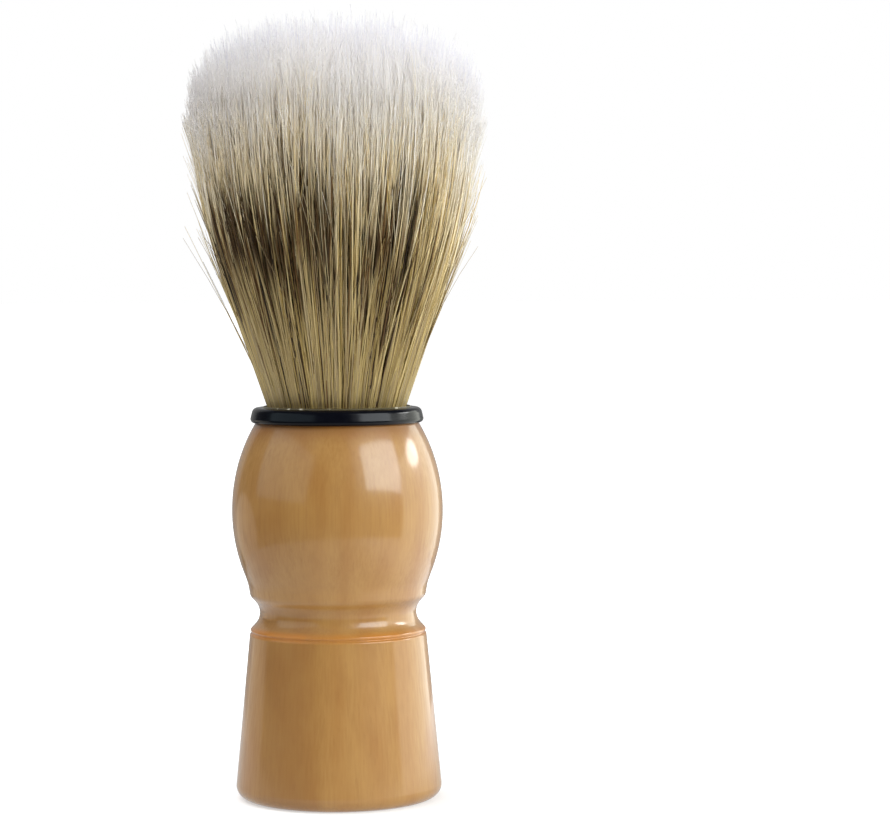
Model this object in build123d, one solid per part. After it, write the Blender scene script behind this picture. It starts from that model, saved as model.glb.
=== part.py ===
from build123d import *

import os
from math import atan, cos, sin, sqrt

# Barber's shaving brush: a turned beech handle, a black collar and a fan-shaped tuft of pig bristle.
# Millimetres, +Z up along the brush's axis, origin at the centre of the face it stands on.
# Every piece but the twine is a solid of revolution, drawn as (radius, height).

# Handle: cone foot, scored line, waist, plain band and bulb, from the base up
foot_radius = 15.66
foot_edge_rounding = 1.9
foot_top_radius = 13.3
foot_height = 24.7
foot_top_rounding = 0.3
score_depth = 0.3
score_width = 0.65
score_rounding = 0.15
waist_corner_radius = 10.9
waist_height = 27.95
waist_rounding = 2.5
band_bottom_radius = 13.2
band_bottom_height = 30.5
band_bottom_rounding = 1.2
band_top_height = 32.4
band_top_rounding = 6.0
bulb_bottom_height = 34.2
bulb_radius = 15.85
bulb_height = 43.3
bulb_curve = 25.8
handle_height = 56.45

# Socket in the top of the handle
socket_radius = 10.9
socket_depth = 15.2
socket_chamfer = 0.45

# Collar: flange on top of the handle and ribbed sleeve in its socket
sleeve_radius = 10.5
sleeve_bore = 9.85
sleeve_length = 13.2
rib_radius = 10.75
rib_length = 1.2
rib_pitch = 3.4
rib_count = 3
flange_radius = 13.15
flange_top_radius = 12.6
flange_thickness = 2.3
flange_lower_rounding = 0.6
flange_upper_rounding = 0.85
throat_gap = 0.2

# Knot: the bristle flares as a cone through the collar's mouth, then bends upright to its full width
butt_radius = 9.1
mouth_radius = 10.94
flare_slope = 0.361
tuft_radius = 22.5
tuft_rounding = 60.0
shoulder_height = 115.0
shoulder_rounding = 10.0
crown_radius = 6.0
crown_rounding = 40.0
brush_height = 116.6

# Bend of the tuft: a ball at the tuft's foot sits in a dish in the root, about one pivot
pivot_height = 72.0
dish_clearance = 0.3
root_rim_height = 61.3

# Resin, twine and adhesive
resin_floor = 2.0
resin_height = 6.4
twine_diameter = 0.7
twine_pitch = 0.76
twine_turns = 4
twine_height = 50.4
twine_gap = 0.02
bead_depth = 0.7
bead_rise = 0.2

collar_top = handle_height + flange_thickness
sleeve_bottom = handle_height - sleeve_length
socket_floor = handle_height - socket_depth
flare_apex = collar_top - mouth_radius / flare_slope
flare_angle = atan(flare_slope)
ball_radius = (pivot_height - flare_apex) * sin(flare_angle)


def flare_radius(height):
    """Radius of the bristle's straight flare at a height."""
    return (height - flare_apex) * flare_slope


def flare_height(radius):
    """Height at which the bristle's straight flare has a radius."""
    return flare_apex + radius / flare_slope


def bulb_outline_radius(height):
    """Radius of the handle's bulb at a height."""
    return bulb_radius - bulb_curve + sqrt(bulb_curve**2 - (height - bulb_height) ** 2)


def bulb_tangent_radius(height):
    """Radius, at a height, of the line that runs down from the bulb's lower end along its arc."""
    drop = bulb_height - bulb_bottom_height
    slope = drop / sqrt(bulb_curve**2 - drop**2)
    return bulb_outline_radius(bulb_bottom_height) - slope * (bulb_bottom_height - height)


def ball_point(radius, drop):
    """Point on a sphere about the tuft's pivot, at a drop below it."""
    return sqrt(radius**2 - drop**2), pivot_height - drop


def turned(outline):
    """Solid of revolution of a closed outline about the brush's axis."""
    return revolve(Plane.XZ * make_face(outline), Axis.Z)


def handle():
    """Turned wood with a blind socket in its top for the collar's sleeve."""
    score_height = foot_height + score_width / 2
    flank = FilletPolyline(
        (0, 0),
        (foot_radius, 0),
        (foot_top_radius, foot_height),
        (foot_top_radius - score_depth, score_height),
        (foot_top_radius, foot_height + score_width),
        (waist_corner_radius, waist_height),
        (band_bottom_radius, band_bottom_height),
        (bulb_tangent_radius(band_top_height), band_top_height),
        (bulb_outline_radius(bulb_bottom_height), bulb_bottom_height),
        radius=[
            foot_edge_rounding,
            foot_top_rounding,
            score_rounding,
            foot_top_rounding,
            waist_rounding,
            band_bottom_rounding,
            band_top_rounding,
        ],
    )
    top_radius = bulb_outline_radius(handle_height)
    bulb = ThreePointArc(flank @ 1, (bulb_radius, bulb_height), (top_radius, handle_height))
    socket = Polyline(
        (top_radius, handle_height),
        (socket_radius + socket_chamfer, handle_height),
        (socket_radius, handle_height - socket_chamfer),
        (socket_radius, socket_floor),
        (0, socket_floor),
        (0, 0),
    )
    return turned(flank + bulb + socket)


def sleeve_flank():
    """Points up the outside of the sleeve, over its saw-toothed ribs."""
    points = [(sleeve_radius, sleeve_bottom)]
    for index in range(rib_count):
        rib_bottom = sleeve_bottom + rib_pitch * (index + 0.5)
        rib_top = rib_bottom + rib_length
        points += [(sleeve_radius, rib_bottom), (rib_radius, rib_top), (sleeve_radius, rib_top)]
    return points


def collar():
    """Black plastic ferrule, open at both ends, with a mouth that flares with the bristle."""
    throat_top = (mouth_radius + throat_gap, collar_top)
    throat_bottom = (sleeve_bore, flare_height(sleeve_bore - throat_gap))
    sleeve = Polyline(*sleeve_flank(), (sleeve_radius, handle_height))
    flange = FilletPolyline(
        (sleeve_radius, handle_height),
        (flange_radius, handle_height),
        (flange_top_radius, collar_top),
        throat_top,
        radius=[flange_lower_rounding, flange_upper_rounding],
    )
    bore = Polyline(throat_top, throat_bottom, (sleeve_bore, sleeve_bottom), (sleeve_radius, sleeve_bottom))
    return turned(sleeve + flange + bore)


def adhesive_bed():
    """Adhesive under the sleeve and between its ribs and the wood."""
    bed_top = handle_height - 2 * socket_chamfer
    wall = Polyline(*sleeve_flank(), (sleeve_radius, bed_top))
    shell = Polyline(
        (sleeve_radius, bed_top),
        (socket_radius, bed_top),
        (socket_radius, socket_floor),
        (0, socket_floor),
        (0, sleeve_bottom),
        (sleeve_radius, sleeve_bottom),
    )
    return turned(wall + shell)


def resin_plug():
    """Cup of cast resin round the cut ends of the bristle."""
    butt_height = sleeve_bottom + resin_floor
    wall_top = sleeve_bottom + resin_height
    outline = Polyline(
        (0, sleeve_bottom),
        (sleeve_bore, sleeve_bottom),
        (sleeve_bore, wall_top),
        (butt_radius, wall_top),
        (butt_radius, butt_height),
        (0, butt_height),
        close=True,
    )
    return turned(outline)


def binding_twine():
    """Thread wound round the butts, between the bristle and the sleeve."""
    coil_radius = butt_radius + twine_diameter / 2 + twine_gap
    coil = Helix(twine_pitch, twine_pitch * twine_turns, coil_radius, center=(0, 0, twine_height))
    start = Plane(coil @ 0, x_dir=(0, 0, 1), z_dir=coil % 0)
    return sweep(start * Circle(twine_diameter / 2), path=coil)


def glue_bead():
    """Ring of adhesive that fills the collar's mouth and creeps up the bristle."""
    bead_bottom = collar_top - bead_depth
    outline = Polyline(
        (flare_radius(bead_bottom), bead_bottom),
        (flare_radius(bead_bottom) + throat_gap, bead_bottom),
        (mouth_radius + throat_gap, collar_top),
        (flare_radius(collar_top + bead_rise), collar_top + bead_rise),
        close=True,
    )
    return turned(outline)


def bristle_root():
    """Fixed foot of the bundle, from the resin to a dished rim just above the collar."""
    butt_height = sleeve_bottom + resin_floor
    dish_radius = ball_radius + dish_clearance
    rim = ball_point(dish_radius, pivot_height - root_rim_height)
    middle = ball_point(dish_radius, dish_radius * cos(flare_angle))
    dish = ThreePointArc(rim, middle, (0, pivot_height - dish_radius))
    flank = Polyline(
        (0, pivot_height - dish_radius),
        (0, butt_height),
        (butt_radius, butt_height),
        (butt_radius, flare_height(butt_radius)),
        (flare_radius(root_rim_height), root_rim_height),
        rim,
    )
    return turned(flank + dish)


def bristle_tuft():
    """Free length of the bristle, which flexes on the root: a fan with a flat, round-edged crown."""
    tangent_drop = ball_radius * sin(flare_angle)
    tangent = ball_point(ball_radius, tangent_drop)
    middle = ball_point(ball_radius, ball_radius * cos(flare_angle))
    ball = ThreePointArc((0, pivot_height - ball_radius), middle, tangent)
    fan = FilletPolyline(
        tangent,
        (tuft_radius, flare_height(tuft_radius)),
        (tuft_radius, shoulder_height),
        (crown_radius, brush_height),
        (0, brush_height),
        radius=[tuft_rounding, shoulder_rounding, crown_rounding],
    )
    axis = Line((0, brush_height), (0, pivot_height - ball_radius))
    return turned(ball + fan + axis)


pieces = [
    handle,
    collar,
    adhesive_bed,
    resin_plug,
    binding_twine,
    glue_bead,
    bristle_root,
    bristle_tuft,
]
os.makedirs("parts", exist_ok=True)
for piece in pieces:
    export_step(piece(), f"parts/{piece.__name__}.step")
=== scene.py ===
import math

import bpy
import numpy as np
from mathutils import Matrix, Vector


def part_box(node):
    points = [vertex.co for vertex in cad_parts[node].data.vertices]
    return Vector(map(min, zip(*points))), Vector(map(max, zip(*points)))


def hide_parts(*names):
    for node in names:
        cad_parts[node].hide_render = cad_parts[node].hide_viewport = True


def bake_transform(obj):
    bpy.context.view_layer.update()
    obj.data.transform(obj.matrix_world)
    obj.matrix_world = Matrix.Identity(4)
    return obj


# Looks of a barber's shaving brush: lacquered beech, black plastic and several thousand single
# bristles. Lengths are in metres, and MM turns a value in millimetres into them.

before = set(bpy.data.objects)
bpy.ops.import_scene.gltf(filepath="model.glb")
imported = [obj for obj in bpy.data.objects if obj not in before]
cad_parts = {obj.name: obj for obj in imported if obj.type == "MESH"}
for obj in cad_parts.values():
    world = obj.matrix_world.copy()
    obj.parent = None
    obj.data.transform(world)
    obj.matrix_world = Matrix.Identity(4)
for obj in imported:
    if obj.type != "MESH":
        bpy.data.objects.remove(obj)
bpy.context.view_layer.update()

MM = 0.001
SEED = 20

# Bristle outline, from the frame
collar_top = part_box("collar")[1].z
butt_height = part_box("bristle_root")[0].z
rim_radius, rim_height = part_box("bristle_root")[1].x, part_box("bristle_root")[1].z
full_radius, crown_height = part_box("bristle_tuft")[1].x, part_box("bristle_tuft")[1].z
FLARE_SLOPE = 0.355
FLARE_ROUNDING = 85 * MM
BUTT_RADIUS = 9.0 * MM
SHOULDER_HEIGHT = crown_height - 15.6 * MM
SHOULDER_POWER = 2.8

# Bristles
STRANDS = 4400
BUNDLES = 4
CLUMPS = 600
LANES = 256
SIDES = 3
STRAND_RINGS = 13
FLAG_RINGS = 4
FLAGS = 4
UV_NAME = "OFBake"
STRAND_RADIUS_MM = (0.110, 0.175)
FLAG_RADIUS_MM = (0.046, 0.066)

# Shares of the bristles that lie at the rim, end below the crown or stand off the bundle, and the
# share of the flags that stand proud of the crown
RIM_SHARE = 0.25
SHORT_SHARE = 0.22
STRAY_SHARE = 0.07
PROUD_SHARE = 0.16

# Patches of the dark band: degrees round from the front, width in degrees, and strength, which is
# below zero where the band is faint
PATCHES = [
    (-46, 19, 0.25),
    (-9, 6, 0.32),
    (28, 10.5, 0.36),
    (68, 20, -0.30),
    (7, 5, -0.08),
    (-24, 4, 0.05),
]

# Places where the band sits low: degrees round, width in degrees, and drop of the free length
LOW_PLACES = [(88, 34, 0.13), (-80, 30, 0.05), (22, 13, 0.05)]

# Studio
LAMP_DISTANCE = 0.7
AIM_HEIGHT = 60 * MM
ROOM_LIGHT = 0.08
PAPER_SIDES = 180
NEAR_RADIUS = 140 * MM
FAR_RADIUS = 12.0
TABLE_RADIUS = 135 * MM
TABLE_MIDDLE = 12 * MM
SHEET_DROP = 0.02 * MM


# ---------------------------------------------------------------- node graphs


class Graph:
    """Short calls that build one material's nodes round its Principled shader."""

    def __init__(self, name):
        self.material = bpy.data.materials.new(name)
        self.material.use_nodes = True
        self.tree = self.material.node_tree
        self.shader = self.tree.nodes["Principled BSDF"]

    def put(self, socket, value):
        """Links a socket, or sets a plain value."""
        if isinstance(value, bpy.types.NodeSocket):
            self.tree.links.new(value, socket)
        else:
            socket.default_value = value

    def add(self, kind, inputs=None, **settings):
        """Adds a node, sets its settings and fills its inputs."""
        node = self.tree.nodes.new("ShaderNode" + kind)
        for key, value in settings.items():
            setattr(node, key, value)
        for key, value in (inputs or {}).items():
            self.put(node.inputs[key], value)
        return node

    def surface(self, **values):
        """Sets the Principled shader's inputs, with underscores for spaces."""
        for key, value in values.items():
            self.put(self.shader.inputs[key.replace("_", " ")], value)
        return self.material

    def maths(self, operation, a, b=0.0, c=0.0):
        return self.add("Math", {0: a, 1: b, 2: c}, operation=operation).outputs[0]

    def step(self, value, low, high, start=0.0, end=1.0):
        """Smooth step of value from start at low to end at high."""
        inputs = {"Value": value, "From Min": low, "From Max": high, "To Min": start, "To Max": end}
        return self.add("MapRange", inputs, interpolation_type="SMOOTHSTEP").outputs["Result"]

    def mix(self, factor, a, b, blend_type="MIX"):
        """Mixes two colours."""
        node = self.add("Mix", {"Factor": factor}, data_type="RGBA", blend_type=blend_type)
        self.put(node.inputs[6], a)
        self.put(node.inputs[7], b)
        return node.outputs[2]

    def noise(self, vector, scale, detail=2.0, roughness=0.5, distortion=0.0):
        inputs = {"Vector": vector, "Scale": scale, "Detail": detail, "Roughness": roughness}
        inputs["Distortion"] = distortion
        return self.add("TexNoise", inputs).outputs["Fac"]

    def ramp(self, factor, stops):
        """Colour ramp of (position, colour) stops."""
        node = self.add("ValToRGB", {"Fac": factor})
        elements = node.color_ramp.elements
        while len(elements) < len(stops):
            elements.new(0.5)
        for element, (position, colour) in zip(elements, stops):
            element.position = position
            element.color = colour
        return node.outputs["Color"]

    def millimetres(self, stretch=(1.0, 1.0, 1.0)):
        """The point's place in the row frame in millimetres, stretched along each axis."""
        place = self.add("TexCoord").outputs["Object"]
        scale = tuple(factor / MM for factor in stretch)
        return self.add("Mapping", {"Vector": place, "Scale": scale}).outputs["Vector"]

    def bump(self, height, distance, strength=1.0):
        inputs = {"Height": height, "Distance": distance, "Strength": strength}
        return self.add("Bump", inputs).outputs["Normal"]


def grey(value):
    return (value, value, value, 1.0)


# ------------------------------------------------------------------ materials


def lacquered_beech():
    """Warm beech, grain upright, with growth bands, short brown flecks and a darker streak, which is
    painted shade on the left of the foot, under a thick clear lacquer that has pooled, orange, along the
    scored line.
    Painted shade also darkens the wood under the collar, where darker lacquer has pooled as well."""
    g = Graph("lacquered_beech")
    x, y, z = g.add("SeparateXYZ", {"Vector": g.millimetres()}).outputs
    sway = g.noise(g.millimetres((0.05, 0.05, 0.018)), 1.0, 2.0)
    pith = g.maths("ADD", g.maths("MULTIPLY", x, 0.78), g.maths("MULTIPLY", y, 0.62))
    rings = g.maths("ADD", g.maths("MULTIPLY", pith, 0.36), g.maths("MULTIPLY", sway, 7.0))
    band = g.maths("PINGPONG", rings, 1.0)
    fibre = g.noise(g.millimetres((2.6, 2.6, 0.07)), 1.0, 3.0, 0.6)
    mottle = g.noise(g.millimetres((0.20, 0.20, 0.12)), 1.0, 3.0, 0.55)
    fleck = g.step(g.noise(g.millimetres((1.9, 1.9, 0.34)), 1.0, 1.0, 0.4), 0.64, 0.74)
    wood = g.mix(g.step(band, 0.1, 0.95), (0.360, 0.184, 0.045, 1), (0.329, 0.155, 0.034, 1))
    wood = g.mix(g.step(fibre, 0.30, 0.72, 0.0, 0.50), wood, (0.270, 0.122, 0.025, 1))
    wood = g.mix(g.step(mottle, 0.35, 0.70, 0.0, 0.40), wood, (0.405, 0.221, 0.060, 1))
    wood = g.mix(g.maths("MULTIPLY", fleck, 0.12), wood, (0.198, 0.081, 0.019, 1))
    # Painted shade: a darker upright streak left of the front, strong on the foot and faint above it,
    # stands in for the shaded left side of the foot.
    place = g.maths("ADD", x, g.maths("MULTIPLY", sway, 4.0))
    painted_foot_shade = g.maths("MULTIPLY", g.step(place, -13.0, -7.5), g.step(place, -4.0, 2.5, 1.0, 0.0))
    painted_foot_shade = g.maths("MULTIPLY", painted_foot_shade, g.step(z, 22.0, 30.0, 0.45, 0.06))
    wood = g.mix(painted_foot_shade, wood, (0.216, 0.092, 0.018, 1))
    pooled = g.step(g.maths("ABSOLUTE", g.maths("SUBTRACT", z, 25.3)), 0.25, 0.95, 0.85, 0.0)
    patchy = g.step(g.noise(g.millimetres((0.16, 0.16, 0.10)), 1.0, 2.0), 0.40, 0.58, 0.65, 1.0)
    wood = g.mix(g.maths("MULTIPLY", pooled, patchy), wood, (0.440, 0.158, 0.008, 1))
    # Painted shade under the collar: the top of the bulb darkens towards it, where darker lacquer has also
    # pooled.
    wood = g.mix(g.step(z, 53.4, 56.6, 0.0, 0.75), wood, (0.216, 0.081, 0.014, 1))
    relief = g.maths("ADD", g.maths("MULTIPLY", fibre, 0.6), g.maths("MULTIPLY", mottle, 2.0))
    rough = g.step(fibre, 0.2, 0.8, 0.36, 0.5)
    return g.surface(
        Base_Color=wood,
        Roughness=rough,
        Specular_IOR_Level=0.4,
        Normal=g.bump(relief, 0.02 * MM, 0.35),
        Coat_Weight=1.0,
        Coat_Roughness=0.13,
        Coat_IOR=1.45,
    )


def black_plastic():
    """Moulded near-black plastic with a waxy gloss and faint scuffs."""
    g = Graph("black_plastic")
    cloud = g.noise(g.millimetres((0.7, 0.7, 0.7)), 1.0, 4.0, 0.6)
    scuff = g.noise(g.millimetres((2.0, 2.0, 9.0)), 1.0, 3.0, 0.7)
    colour = g.mix(cloud, (0.001, 0.001, 0.003, 1), (0.003, 0.004, 0.007, 1))
    rough = g.step(g.maths("ADD", cloud, scuff), 0.7, 1.4, 0.15, 0.24)
    return g.surface(Base_Color=colour, Roughness=rough, Normal=g.bump(scuff, 0.02 * MM, 0.15), IOR=1.28)


def dried_glue():
    """Clear adhesive gone straw-coloured, whitish where it is thick."""
    g = Graph("dried_glue")
    lump = g.noise(g.millimetres((0.55, 0.55, 0.3)), 1.0, 3.0, 0.6)
    colour = g.mix(g.step(lump, 0.60, 0.70), (0.085, 0.070, 0.032, 1), (0.62, 0.58, 0.44, 1))
    return g.surface(Base_Color=colour, Roughness=0.3, Normal=g.bump(lump, 0.1 * MM, 0.6))


def casting_resin():
    """Amber resin with cloudy streaks."""
    g = Graph("casting_resin")
    cloud = g.noise(g.millimetres((0.3, 0.3, 0.5)), 1.0, 4.0, 0.6)
    colour = g.mix(cloud, (0.33, 0.17, 0.05, 1), (0.62, 0.42, 0.18, 1))
    return g.surface(Base_Color=colour, Roughness=0.25, Normal=g.bump(cloud, 0.1 * MM, 0.4))


def twisted_thread():
    """Undyed thread with the slanted plies of its twist."""
    g = Graph("twisted_thread")
    x, y, z = g.add("SeparateXYZ", {"Vector": g.millimetres()}).outputs
    turn = g.maths("MULTIPLY", g.maths("ARCTAN2", y, x), 48.0)
    ply = g.maths("SINE", g.maths("ADD", turn, g.maths("MULTIPLY", z, 12.0)))
    fuzz = g.noise(g.millimetres((4.0, 4.0, 4.0)), 1.0, 3.0, 0.6)
    colour = g.mix(g.step(ply, -1.0, 1.0), (0.36, 0.28, 0.16, 1), (0.66, 0.57, 0.40, 1))
    colour = g.mix(g.maths("MULTIPLY", fuzz, 0.4), colour, (0.80, 0.72, 0.55, 1))
    return g.surface(Base_Color=colour, Roughness=0.85, Normal=g.bump(ply, 0.08 * MM, 0.8))


def pig_bristle():
    """Straw-coloured foot, dyed dark band and bleached tips. A bristle's lane, across the UV map,
    sets how dark its band is and every other difference; the place along the map is its height."""
    g = Graph("pig_bristle")
    uv = g.add("UVMap", uv_map=UV_NAME).outputs["UV"]
    across, along, _ = g.add("SeparateXYZ", {"Vector": uv}).outputs
    lane = g.maths("FLOOR", g.maths("MULTIPLY", across, float(LANES)))

    def chance(seed):
        """A random value from 0 to 1 for each lane."""
        spot = g.add("CombineXYZ", {"X": lane, "Y": seed}).outputs[0]
        return g.add("TexWhiteNoise", {"Vector": spot}, noise_dimensions="2D").outputs["Value"]

    shifted = g.maths("ADD", along, g.maths("MULTIPLY", g.maths("SUBTRACT", chance(1.0), 0.5), 0.12))
    # The first stops of both ramps darken the bristles just above the collar: painted shade of the collar
    # on the foot of the bundle.
    khaki = [
        (0.00, (0.190, 0.130, 0.040, 1)),
        (0.07, (0.360, 0.255, 0.082, 1)),
        (0.36, (0.450, 0.317, 0.102, 1)),
        (0.52, (0.705, 0.528, 0.220, 1)),
        (0.62, (0.885, 0.738, 0.440, 1)),
        (0.71, (0.948, 0.868, 0.705, 1)),
        (0.80, (0.972, 0.936, 0.888, 1)),
        (0.95, (0.972, 0.955, 0.966, 1)),
        # The last stop, here and in cream below, turns the very tips darker and lavender grey: painted
        # shade along the crown's outline.
        (1.00, (0.860, 0.850, 0.905, 1)),
    ]
    cream = [
        (0.00, (0.340, 0.255, 0.095, 1)),
        (0.07, (0.560, 0.428, 0.172, 1)),
        (0.40, (0.720, 0.588, 0.298, 1)),
        (0.54, (0.935, 0.822, 0.550, 1)),
        (0.66, (0.973, 0.918, 0.795, 1)),
        (0.78, (0.976, 0.953, 0.925, 1)),
        (0.95, (0.974, 0.960, 0.970, 1)),
        (1.00, (0.880, 0.870, 0.920, 1)),
    ]
    body = g.mix(chance(6.0), g.ramp(shifted, khaki), g.ramp(shifted, cream))
    ashen = g.maths("MULTIPLY", g.step(chance(7.0), 0.70, 0.76), g.step(along, 0.56, 0.70, 0.6, 0.0))
    body = g.mix(ashen, body, (0.350, 0.275, 0.170, 1))
    strength = g.step(across, 0.27, 0.74)
    early = g.step(chance(5.0), 0.79, 0.84)
    rise = g.step(g.maths("SUBTRACT", along, g.maths("MULTIPLY", chance(2.0), 0.25)), 0.11, 0.24)
    rise = g.maths("MAXIMUM", rise, early)
    reach = g.maths("MULTIPLY", g.maths("POWER", chance(3.0), 1.7), 0.21)
    fall = g.step(g.maths("SUBTRACT", along, reach), 0.375, 0.48, 1.0, 0.0)
    band = g.maths("MULTIPLY", g.maths("MULTIPLY", rise, fall), strength)
    dye = g.mix(chance(4.0), (0.020, 0.011, 0.004, 1), (0.200, 0.106, 0.032, 1))
    colour = g.mix(band, body, dye)
    return g.surface(Base_Color=colour, Roughness=0.45, IOR=1.38)


def white_paper():
    """Matt white paper that glows, painted light: brighter away from the brush and to its right, as on a
    table lit from behind.
    """
    g = Graph("white_paper")
    x, y, _ = g.add("SeparateXYZ", {"Vector": g.millimetres()}).outputs
    away = g.maths("SQRT", g.maths("ADD", g.maths("MULTIPLY", x, x), g.maths("MULTIPLY", y, y)))
    tooth = g.noise(g.millimetres((0.5, 0.5, 0.5)), 1.0, 4.0, 0.6)
    colour = g.mix(tooth, grey(0.46), grey(0.49))
    sides = g.maths("ADD", g.step(x, -120.0, -20.0, 0.15, 0.0), g.step(x, 20.0, 110.0, 0.0, 0.6))
    glow = g.maths("ADD", g.step(away, 10.0, 200.0, 0.50, 1.0), sides)
    return g.surface(
        Base_Color=colour,
        Roughness=0.9,
        Specular_IOR_Level=0.1,
        Emission_Color=grey(1.0),
        Emission_Strength=glow,
    )


def lit_table():
    """Table top as the lacquer mirrors it: it glows, painted light, brighter to the right, where the light
    falls.
    """
    g = Graph("lit_table")
    x, _, _ = g.add("SeparateXYZ", {"Vector": g.millimetres()}).outputs
    glow = g.step(x, 10.0, 75.0, 0.6, 1.6)
    return g.surface(
        Base_Color=grey(0.1),
        Roughness=0.9,
        Specular_IOR_Level=0.1,
        Emission_Color=grey(1.0),
        Emission_Strength=glow,
    )


# ------------------------------------------------------------------- bristles


def outline_radius(height):
    """Radius of the bundle: upright in the sleeve, then a straight flare that bends upright again."""
    cone = rim_radius + FLARE_SLOPE * (height - rim_height)
    corner = rim_height + (full_radius - rim_radius) / FLARE_SLOPE
    half_turn = FLARE_ROUNDING * math.tan(math.atan(FLARE_SLOPE) / 2)
    arc_top = corner + half_turn
    drop = np.clip(arc_top - height, 0.0, FLARE_ROUNDING * math.sin(math.atan(FLARE_SLOPE)))
    arc = full_radius - FLARE_ROUNDING + np.sqrt(FLARE_ROUNDING**2 - drop**2)
    in_arc = height > arc_top - FLARE_ROUNDING * math.sin(math.atan(FLARE_SLOPE))
    return np.maximum(np.where(in_arc, arc, cone), BUTT_RADIUS)


def crown_top(share):
    """Height of the crown at a share of the full radius."""
    inside = np.clip(1.0 - np.clip(share, 0.0, 1.0) ** SHOULDER_POWER, 0.0, 1.0)
    return SHOULDER_HEIGHT + (crown_height - SHOULDER_HEIGHT) * inside ** (1.0 / SHOULDER_POWER)


def tubes(lines, radii):
    """Corner points of three-sided tubes. lines is (tube, ring, xyz), radii is (tube, ring)."""
    along = np.gradient(lines, axis=1)
    along /= np.linalg.norm(along, axis=2, keepdims=True)
    side = np.cross(along, (0.31, 0.95, 0.05))
    side /= np.linalg.norm(side, axis=2, keepdims=True)
    other = np.cross(along, side)
    angles = np.arange(SIDES) * math.tau / SIDES
    ring = np.cos(angles)[:, None] * side[:, :, None, :] + np.sin(angles)[:, None] * other[:, :, None, :]
    return lines[:, :, None, :] + ring * radii[:, :, None, None]


def tube_mesh(name, groups):
    """One mesh from groups of (points, lanes, lifts): points is (tube, ring, side, xyz). The UV map
    holds each bristle's lane across and its height, shifted by its lift, along."""
    points, faces, uvs = [], [], []
    count = 0
    for corners, lanes, lifts in groups:
        tube_count, ring_count = corners.shape[:2]
        index = count + np.arange(tube_count * ring_count * SIDES).reshape(tube_count, ring_count, SIDES)
        nxt = np.roll(index, -1, axis=2)
        quads = np.stack([index[:, :-1], nxt[:, :-1], nxt[:, 1:], index[:, 1:]], axis=-1)
        level = (corners[..., 2].mean(axis=2) - collar_top) / (crown_height - collar_top)
        level = np.clip(level + lifts[:, None], 0.002, 0.998)
        low, high = level[:, :-1, None], level[:, 1:, None]
        left = np.broadcast_to(((lanes + 0.15) / LANES)[:, None, None], quads.shape[:3])
        right = left + 0.7 / LANES
        low, high = np.broadcast_to(low, quads.shape[:3]), np.broadcast_to(high, quads.shape[:3])
        uv = np.stack([left, low, right, low, right, high, left, high], axis=-1)
        points.append(corners.reshape(-1, 3))
        faces.append(quads.reshape(-1, 4))
        uvs.append(uv.reshape(-1, 4, 2))
        count += tube_count * ring_count * SIDES
    points, faces, uvs = np.concatenate(points), np.concatenate(faces), np.concatenate(uvs)
    mesh = bpy.data.meshes.new(name)
    mesh.vertices.add(len(points))
    mesh.vertices.foreach_set("co", points.astype(np.float32).ravel())
    mesh.loops.add(faces.size)
    mesh.loops.foreach_set("vertex_index", faces.astype(np.int32).ravel())
    mesh.polygons.add(len(faces))
    mesh.polygons.foreach_set("loop_start", np.arange(0, faces.size, 4, dtype=np.int32))
    mesh.polygons.foreach_set("use_smooth", np.ones(len(faces), dtype=bool))
    mesh.update(calc_edges=True)
    layer = mesh.uv_layers.new(name=UV_NAME)
    layer.data.foreach_set("uv", uvs.astype(np.float32).ravel())
    mesh.validate()
    return mesh


def waves(angle, height_share, seed):
    """A smooth random value from about -1 to 1, for a place round the brush."""
    draw = np.random.default_rng(seed)
    total = np.zeros_like(angle)
    for turns in range(1, 9):
        phase, tilt = draw.uniform(0, math.tau), draw.uniform(-2, 2)
        total += draw.normal() * np.sin(turns * angle + tilt * height_share + phase) / turns**0.5
    return total / 2.2


def strand_places(rng):
    """For every bristle, its angle, its share of the radius and the clump it leans to."""
    share = np.sqrt(rng.uniform(0.0, 1.0, STRANDS))
    skin = rng.uniform(0, 1, STRANDS) < RIM_SHARE
    share[skin] = np.sqrt(rng.uniform(0.80, 1.0, skin.sum()))
    angle = rng.uniform(0, math.tau, STRANDS)
    clump_share = np.sqrt(rng.uniform(0.0, 1.0, CLUMPS))
    clump_angle = rng.uniform(0, math.tau, CLUMPS)
    clump_x, clump_y = clump_share * np.cos(clump_angle), clump_share * np.sin(clump_angle)
    x, y = share * np.cos(angle), share * np.sin(angle)
    gap = (x[:, None] - clump_x) ** 2 + (y[:, None] - clump_y) ** 2
    clump = gap.argmin(axis=1)
    return x, y, clump_x[clump], clump_y[clump], clump


def wander(rng, size):
    """Random sideways way of every bristle: most are small, one in five is large."""
    wide = np.where(rng.uniform(0, 1, STRANDS) < 0.20, 2.2, 1.0)
    return (rng.normal(0, size, STRANDS) * wide)[:, None]


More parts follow.
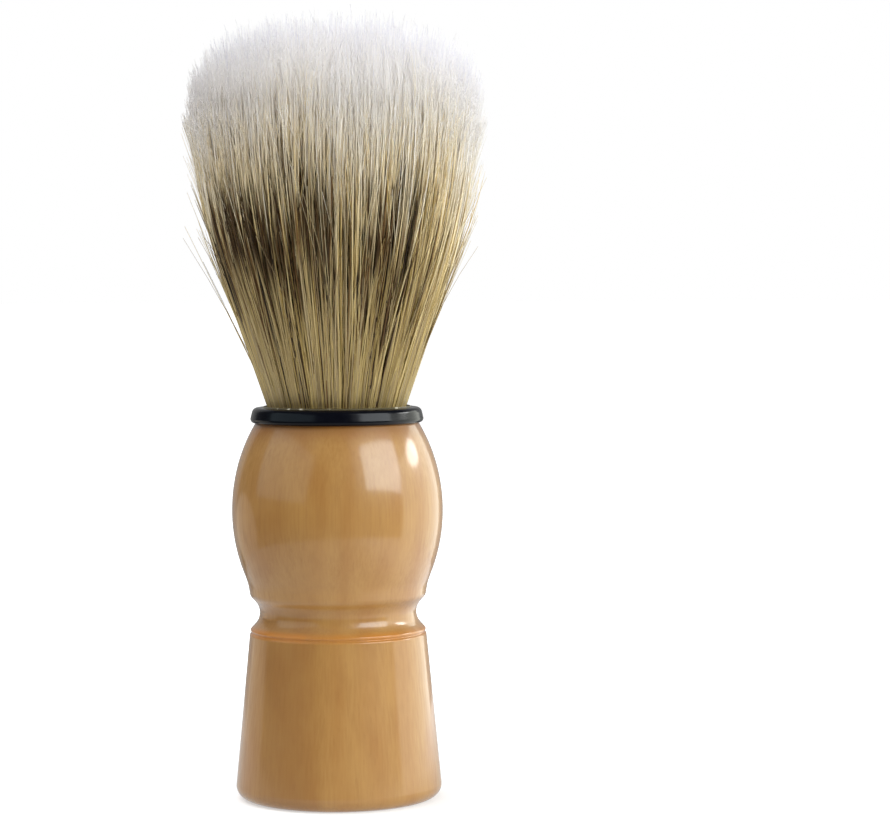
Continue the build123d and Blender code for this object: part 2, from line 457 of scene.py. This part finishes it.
def bristle_lines(rng):
    """Centre lines and radii of every bristle, and its lane and lift on the map of the dye. Some
    bristles are short, and a few strays at the rim are shorter still and stand off the bundle."""
    x, y, lean_x, lean_y, clump = strand_places(rng)
    gather = rng.uniform(0.0, 0.75, STRANDS)[:, None]
    tilt_x, tilt_y = wander(rng, 0.080), wander(rng, 0.080)
    bow_x, bow_y = wander(rng, 0.038), wander(rng, 0.038)
    skin = 0.018 * np.clip(rng.normal(0.0, 1.0, STRANDS), -2.5, 1.5)[:, None]

    def sideways(free):
        """Place across the bundle, as shares of its radius, at a share of the free length."""
        pull = gather * np.sin(math.pi * 0.9 * free) ** 1.2
        tilt, bow = free**1.2, np.sin(math.pi * free)
        px = x[:, None] + (lean_x - x)[:, None] * pull + tilt_x * tilt + bow_x * bow
        py = y[:, None] + (lean_y - y)[:, None] * pull + tilt_y * tilt + bow_y * bow
        fit = np.minimum(1.0, (0.955 + skin * free) / np.maximum(np.hypot(px, py), 1e-6))
        return px * fit, py * fit

    end_x, end_y = sideways(np.ones((STRANDS, 1)))
    share = np.hypot(end_x, end_y)[:, 0]
    tip = crown_top(share) - rng.exponential(1.0 * MM, STRANDS) - rng.uniform(0.2, 1.4, STRANDS) * MM
    tip += rng.normal(0, 0.7 * MM, CLUMPS)[clump]
    short = rng.uniform(0, 1, STRANDS) < SHORT_SHARE
    tip[short] -= rng.uniform(1.0, 14.0, short.sum()) * MM
    stray = (share > 0.93) & (rng.uniform(0, 1, STRANDS) < STRAY_SHARE)
    tip[stray] = collar_top + (crown_height - collar_top) * rng.uniform(0.30, 0.66, stray.sum())
    t = np.linspace(0.0, 1.0, STRAND_RINGS)[None, :]
    height = butt_height + (tip - butt_height)[:, None] * t
    free = np.clip((height - collar_top) / (crown_height - collar_top), 0.0, 1.0)
    px, py = sideways(free)
    out = 1.0 + (stray * rng.uniform(0.03, 0.10, STRANDS))[:, None] * np.clip(free / 0.5, 0, 1) ** 1.5
    scale = (outline_radius(height) - 0.2 * MM) * out
    lines = np.stack([px * scale, py * scale, height], axis=-1)
    thick = rng.uniform(*STRAND_RADIUS_MM, STRANDS)[:, None] * MM
    radii = thick * (1.0 - 0.18 * t - 0.46 * np.clip((t - 0.60) / 0.40, 0, 1))
    radii[:, -1] *= 0.35
    return lines, radii, strand_lanes(rng, x, y, clump), strand_lifts(rng, x, y, clump)


def strand_lanes(rng, x, y, clump):
    """Lane of every bristle. The band is darkest in patches: a wide one left of the front, two
    narrow ones near it, and others by chance round the brush; it is faint on the right."""
    front = np.degrees(np.arctan2(x, -y))
    share = np.hypot(x, y)
    patch = 0.14 * waves(np.radians(front), share, SEED + 1)
    for place, width, depth in PATCHES:
        away = (front - place + 180.0) % 360.0 - 180.0
        patch += depth * np.exp(-0.5 * (away / width) ** 2)
    clump_tone = rng.normal(0, 0.14, CLUMPS)[clump]
    tone = 0.53 + patch + clump_tone + rng.normal(0, 0.17, STRANDS)
    return np.clip(np.floor(np.clip(tone, 0.0, 0.999) * LANES), 0, LANES - 1)


def strand_lifts(rng, x, y, clump):
    """How far down each bristle's dye is shifted, as a share of the free length."""
    wave = waves(np.arctan2(y, x), np.hypot(x, y), SEED + 2)
    front = np.degrees(np.arctan2(x, -y))
    low = 0.002 + 0.016 * wave
    for place, width, drop in LOW_PLACES:
        low += drop * np.exp(-(((front - place) / width) ** 2))
    return low + rng.normal(0, 0.028, CLUMPS)[clump] + rng.normal(0, 0.014, STRANDS)


def flag_lines(rng, lines):
    """A fine hair that splits from the last half of each bristle. A few stand proud of the crown."""
    s = np.linspace(0.0, 1.0, FLAG_RINGS)[None, :, None]
    start_ring = rng.integers(STRAND_RINGS - 8, STRAND_RINGS - 2, STRANDS)
    start = lines[np.arange(STRANDS), start_ring]
    along = lines[:, -1] - start
    length = np.linalg.norm(along, axis=1, keepdims=True)
    spread = rng.normal(0, 1, (STRANDS, 3)) * (0.09 * length)
    reach = rng.uniform(0.72, 1.0, (STRANDS, 1))
    proud = rng.uniform(0, 1, (STRANDS, 1)) < PROUD_SHARE
    reach = np.where(proud, 1.0 + rng.uniform(0.3, 2.0, (STRANDS, 1)) * MM / length, reach)
    end = start + along * reach + spread * (1, 1, 0.2)
    rim = np.hypot(end[:, 0], end[:, 1])
    inward = np.minimum(1.0, (full_radius + rng.uniform(-1.3, 0.6, STRANDS) * MM) / rim)
    end[:, :2] *= inward[:, None]
    ceiling = crown_top(np.hypot(end[:, 0], end[:, 1]) / full_radius) + rng.uniform(0.0, 2.0, STRANDS) * MM
    end[:, 2] = np.minimum(end[:, 2], ceiling)
    middle = start + along * 0.5 + spread * (0.30, 0.30, 0.1)
    flags = (1 - s) ** 2 * start[:, None] + 2 * s * (1 - s) * middle[:, None] + s**2 * end[:, None]
    width = rng.uniform(*FLAG_RADIUS_MM, (STRANDS, 1)) * MM * (1.0 - 0.45 * s[..., 0])
    return flags, width


def make_bristles():
    """Bundles of bristle, a quarter of the brush each, that bend from the grip to the tuft."""
    rng = np.random.default_rng(SEED)
    lines, radii, lanes, lifts = bristle_lines(rng)
    quarter = np.floor(np.arctan2(lines[:, -1, 1], lines[:, -1, 0]) / math.tau * BUNDLES) % BUNDLES
    flags = [flag_lines(rng, lines) for _ in range(FLAGS)]
    material = pig_bristle()
    for bundle in range(BUNDLES):
        mine = quarter == bundle
        hairs = [(lines, radii)] + flags
        groups = [(tubes(line[mine], width[mine]), lanes[mine], lifts[mine]) for line, width in hairs]
        mesh = tube_mesh(f"bristles_{bundle + 1}", groups)
        mesh.materials.append(material)
        piece = bpy.data.objects.new(mesh.name, mesh)
        bpy.context.scene.collection.objects.link(piece)
        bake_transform(piece)
        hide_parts("bristle_root", "bristle_tuft")


# --------------------------------------------------------------------- studio


def soft_lamp(
    name,
    azimuth,
    elevation,
    wide,
    tall,
    radiance,
    roll=0.0,
    colour=(1, 1, 1),
    shape="RECTANGLE",
    mirrored=True,
    lights=True,
):
    """Flat lamp aimed at the brush, of an angular size in degrees and a brightness. Azimuth 0 is in
    front of the brush, and 90 is to its right. A lamp that isn't mirrored only lights the surfaces,
    and one that doesn't light them is only mirrored in the lacquer and the plastic."""
    a, e = math.radians(azimuth), math.radians(elevation)
    out = Vector((math.sin(a) * math.cos(e), -math.cos(a) * math.cos(e), math.sin(e)))
    lamp = bpy.data.lights.new(name, "AREA")
    lamp.shape = shape
    lamp.size = 2 * LAMP_DISTANCE * math.tan(math.radians(wide / 2))
    lamp.size_y = 2 * LAMP_DISTANCE * math.tan(math.radians(tall / 2))
    lamp.energy = math.pi * lamp.size * lamp.size_y * radiance
    lamp.color = colour
    holder = bpy.data.objects.new(name, lamp)
    holder.visible_glossy = mirrored
    holder.visible_diffuse = lights
    turn = out.to_track_quat("Z", "Y").to_matrix().to_4x4() @ Matrix.Rotation(math.radians(roll), 4, "Z")
    place = Vector((0, 0, AIM_HEIGHT)) + out * LAMP_DISTANCE
    holder.matrix_world = Matrix.Translation(place) @ turn
    bpy.context.scene.collection.objects.link(holder)


def make_world():
    """A white room in view, and a dim one as light."""
    world = bpy.data.worlds.new("studio_room")
    bpy.context.scene.world = world
    world.use_nodes = True
    tree = world.node_tree
    path = tree.nodes.new("ShaderNodeLightPath")
    strength = tree.nodes.new("ShaderNodeMapRange")
    tree.links.new(path.outputs["Is Camera Ray"], strength.inputs["Value"])
    strength.inputs["To Min"].default_value = ROOM_LIGHT
    strength.inputs["To Max"].default_value = 1.0
    background = tree.nodes["Background"]
    tree.links.new(strength.outputs["Result"], background.inputs["Strength"])
    background.inputs["Color"].default_value = (1, 1, 1, 1)


def round_sheet(name, radius, material):
    """Disc of paper on the ground."""
    turns = np.linspace(0, math.tau, PAPER_SIDES, endpoint=False)
    rim = np.stack([radius * np.cos(turns), radius * np.sin(turns), np.zeros(PAPER_SIDES)], axis=1)
    mesh = bpy.data.meshes.new(name)
    mesh.from_pydata(rim.tolist(), [], [tuple(range(PAPER_SIDES))])
    mesh.materials.append(material)
    sheet = bpy.data.objects.new(name, mesh)
    bpy.context.scene.collection.objects.link(sheet)
    return sheet


def make_floor():
    """White paper: a near sheet that also lights the brush, a far one that is only seen, and a table
    top that is only mirrored. They lie a hair apart, so that no two share a plane."""
    near = round_sheet("floor_near", NEAR_RADIUS, white_paper())
    near.visible_glossy = False
    far = round_sheet("floor_far", FAR_RADIUS, white_paper())
    far.location = (0, 0, -SHEET_DROP)
    far.visible_glossy = False
    far.visible_diffuse = False
    table = round_sheet("floor_mirrored", TABLE_RADIUS, lit_table())
    table.location = (TABLE_MIDDLE, 0, -2 * SHEET_DROP)
    table.visible_camera = False
    table.visible_diffuse = False
    table.visible_shadow = False


def make_camera():
    """A little above the collar, looking slightly down, with the brush left of the middle."""
    camera = bpy.data.cameras.new("camera")
    camera.sensor_width = 36.0
    camera.lens = 115.96
    camera.clip_start, camera.clip_end = 0.01, 20.0
    holder = bpy.data.objects.new("camera", camera)
    holder.location = (16.30 * MM, -430 * MM, 77.0 * MM)
    holder.rotation_euler = (math.radians(90 - 2.5), math.radians(0.25), 0)
    bpy.context.scene.collection.objects.link(holder)
    bpy.context.scene.camera = holder


def paint(node, material):
    """Gives a CAD node its finished material."""
    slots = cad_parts[node].data.materials
    for index in range(len(slots)):
        slots[index] = material


paint("handle", lacquered_beech())
paint("collar", black_plastic())
glue = dried_glue()
paint("glue_bead", glue)
paint("adhesive_bed", glue)
paint("resin_plug", casting_resin())
paint("binding_twine", twisted_thread())
make_bristles()

make_world()
make_floor()
make_camera()
soft_lamp("softbox", 57.5, 25, 43, 31, 5.5, roll=-8, colour=(0.92, 0.98, 1.0))
soft_lamp("softbox_spill", 53, 31, 54, 38, 0.7, roll=-8)
soft_lamp("side_panel", 112, 0, 70, 50, 2.1, colour=(0.98, 1.0, 0.89), lights=False)
soft_lamp("side_fill", 112, 0, 70, 50, 1.45, colour=(0.98, 1.0, 0.89), mirrored=False)
soft_lamp("edge_lamp", 109, 20, 22, 11, 8.0, shape="ELLIPSE")
soft_lamp("front_fill", 32, 12, 80, 50, 0.95, colour=(1.0, 0.96, 0.88), mirrored=False)
soft_lamp("left_panel", -65, 22, 66, 36, 0.85, colour=(0.70, 0.92, 1.0), lights=False)
soft_lamp("left_horizon", -120, -12, 44, 26, 0.5, colour=(1.0, 0.92, 0.80), shape="ELLIPSE")
soft_lamp("left_fill", -68, 26, 56, 32, 0.55, colour=(0.94, 0.95, 1.0), mirrored=False)
soft_lamp("left_backdrop", -125, 50, 60, 50, 1.9, colour=(0.94, 0.95, 1.0), mirrored=False)
soft_lamp("top_lamp", -60, 66, 50, 50, 2.5, mirrored=False)
soft_lamp("overhead", 0, 88, 50, 50, 0.7, colour=(1.0, 0.97, 0.92), mirrored=False)
soft_lamp("back_panel", 178, 28, 80, 50, 1.1, mirrored=False)
soft_lamp("rim_panel", 178, 14, 90, 60, 0.3, lights=False)

scene = bpy.context.scene
scene.view_settings.view_transform = "Standard"
scene.cycles.max_bounces = 16
scene.cycles.diffuse_bounces = 14
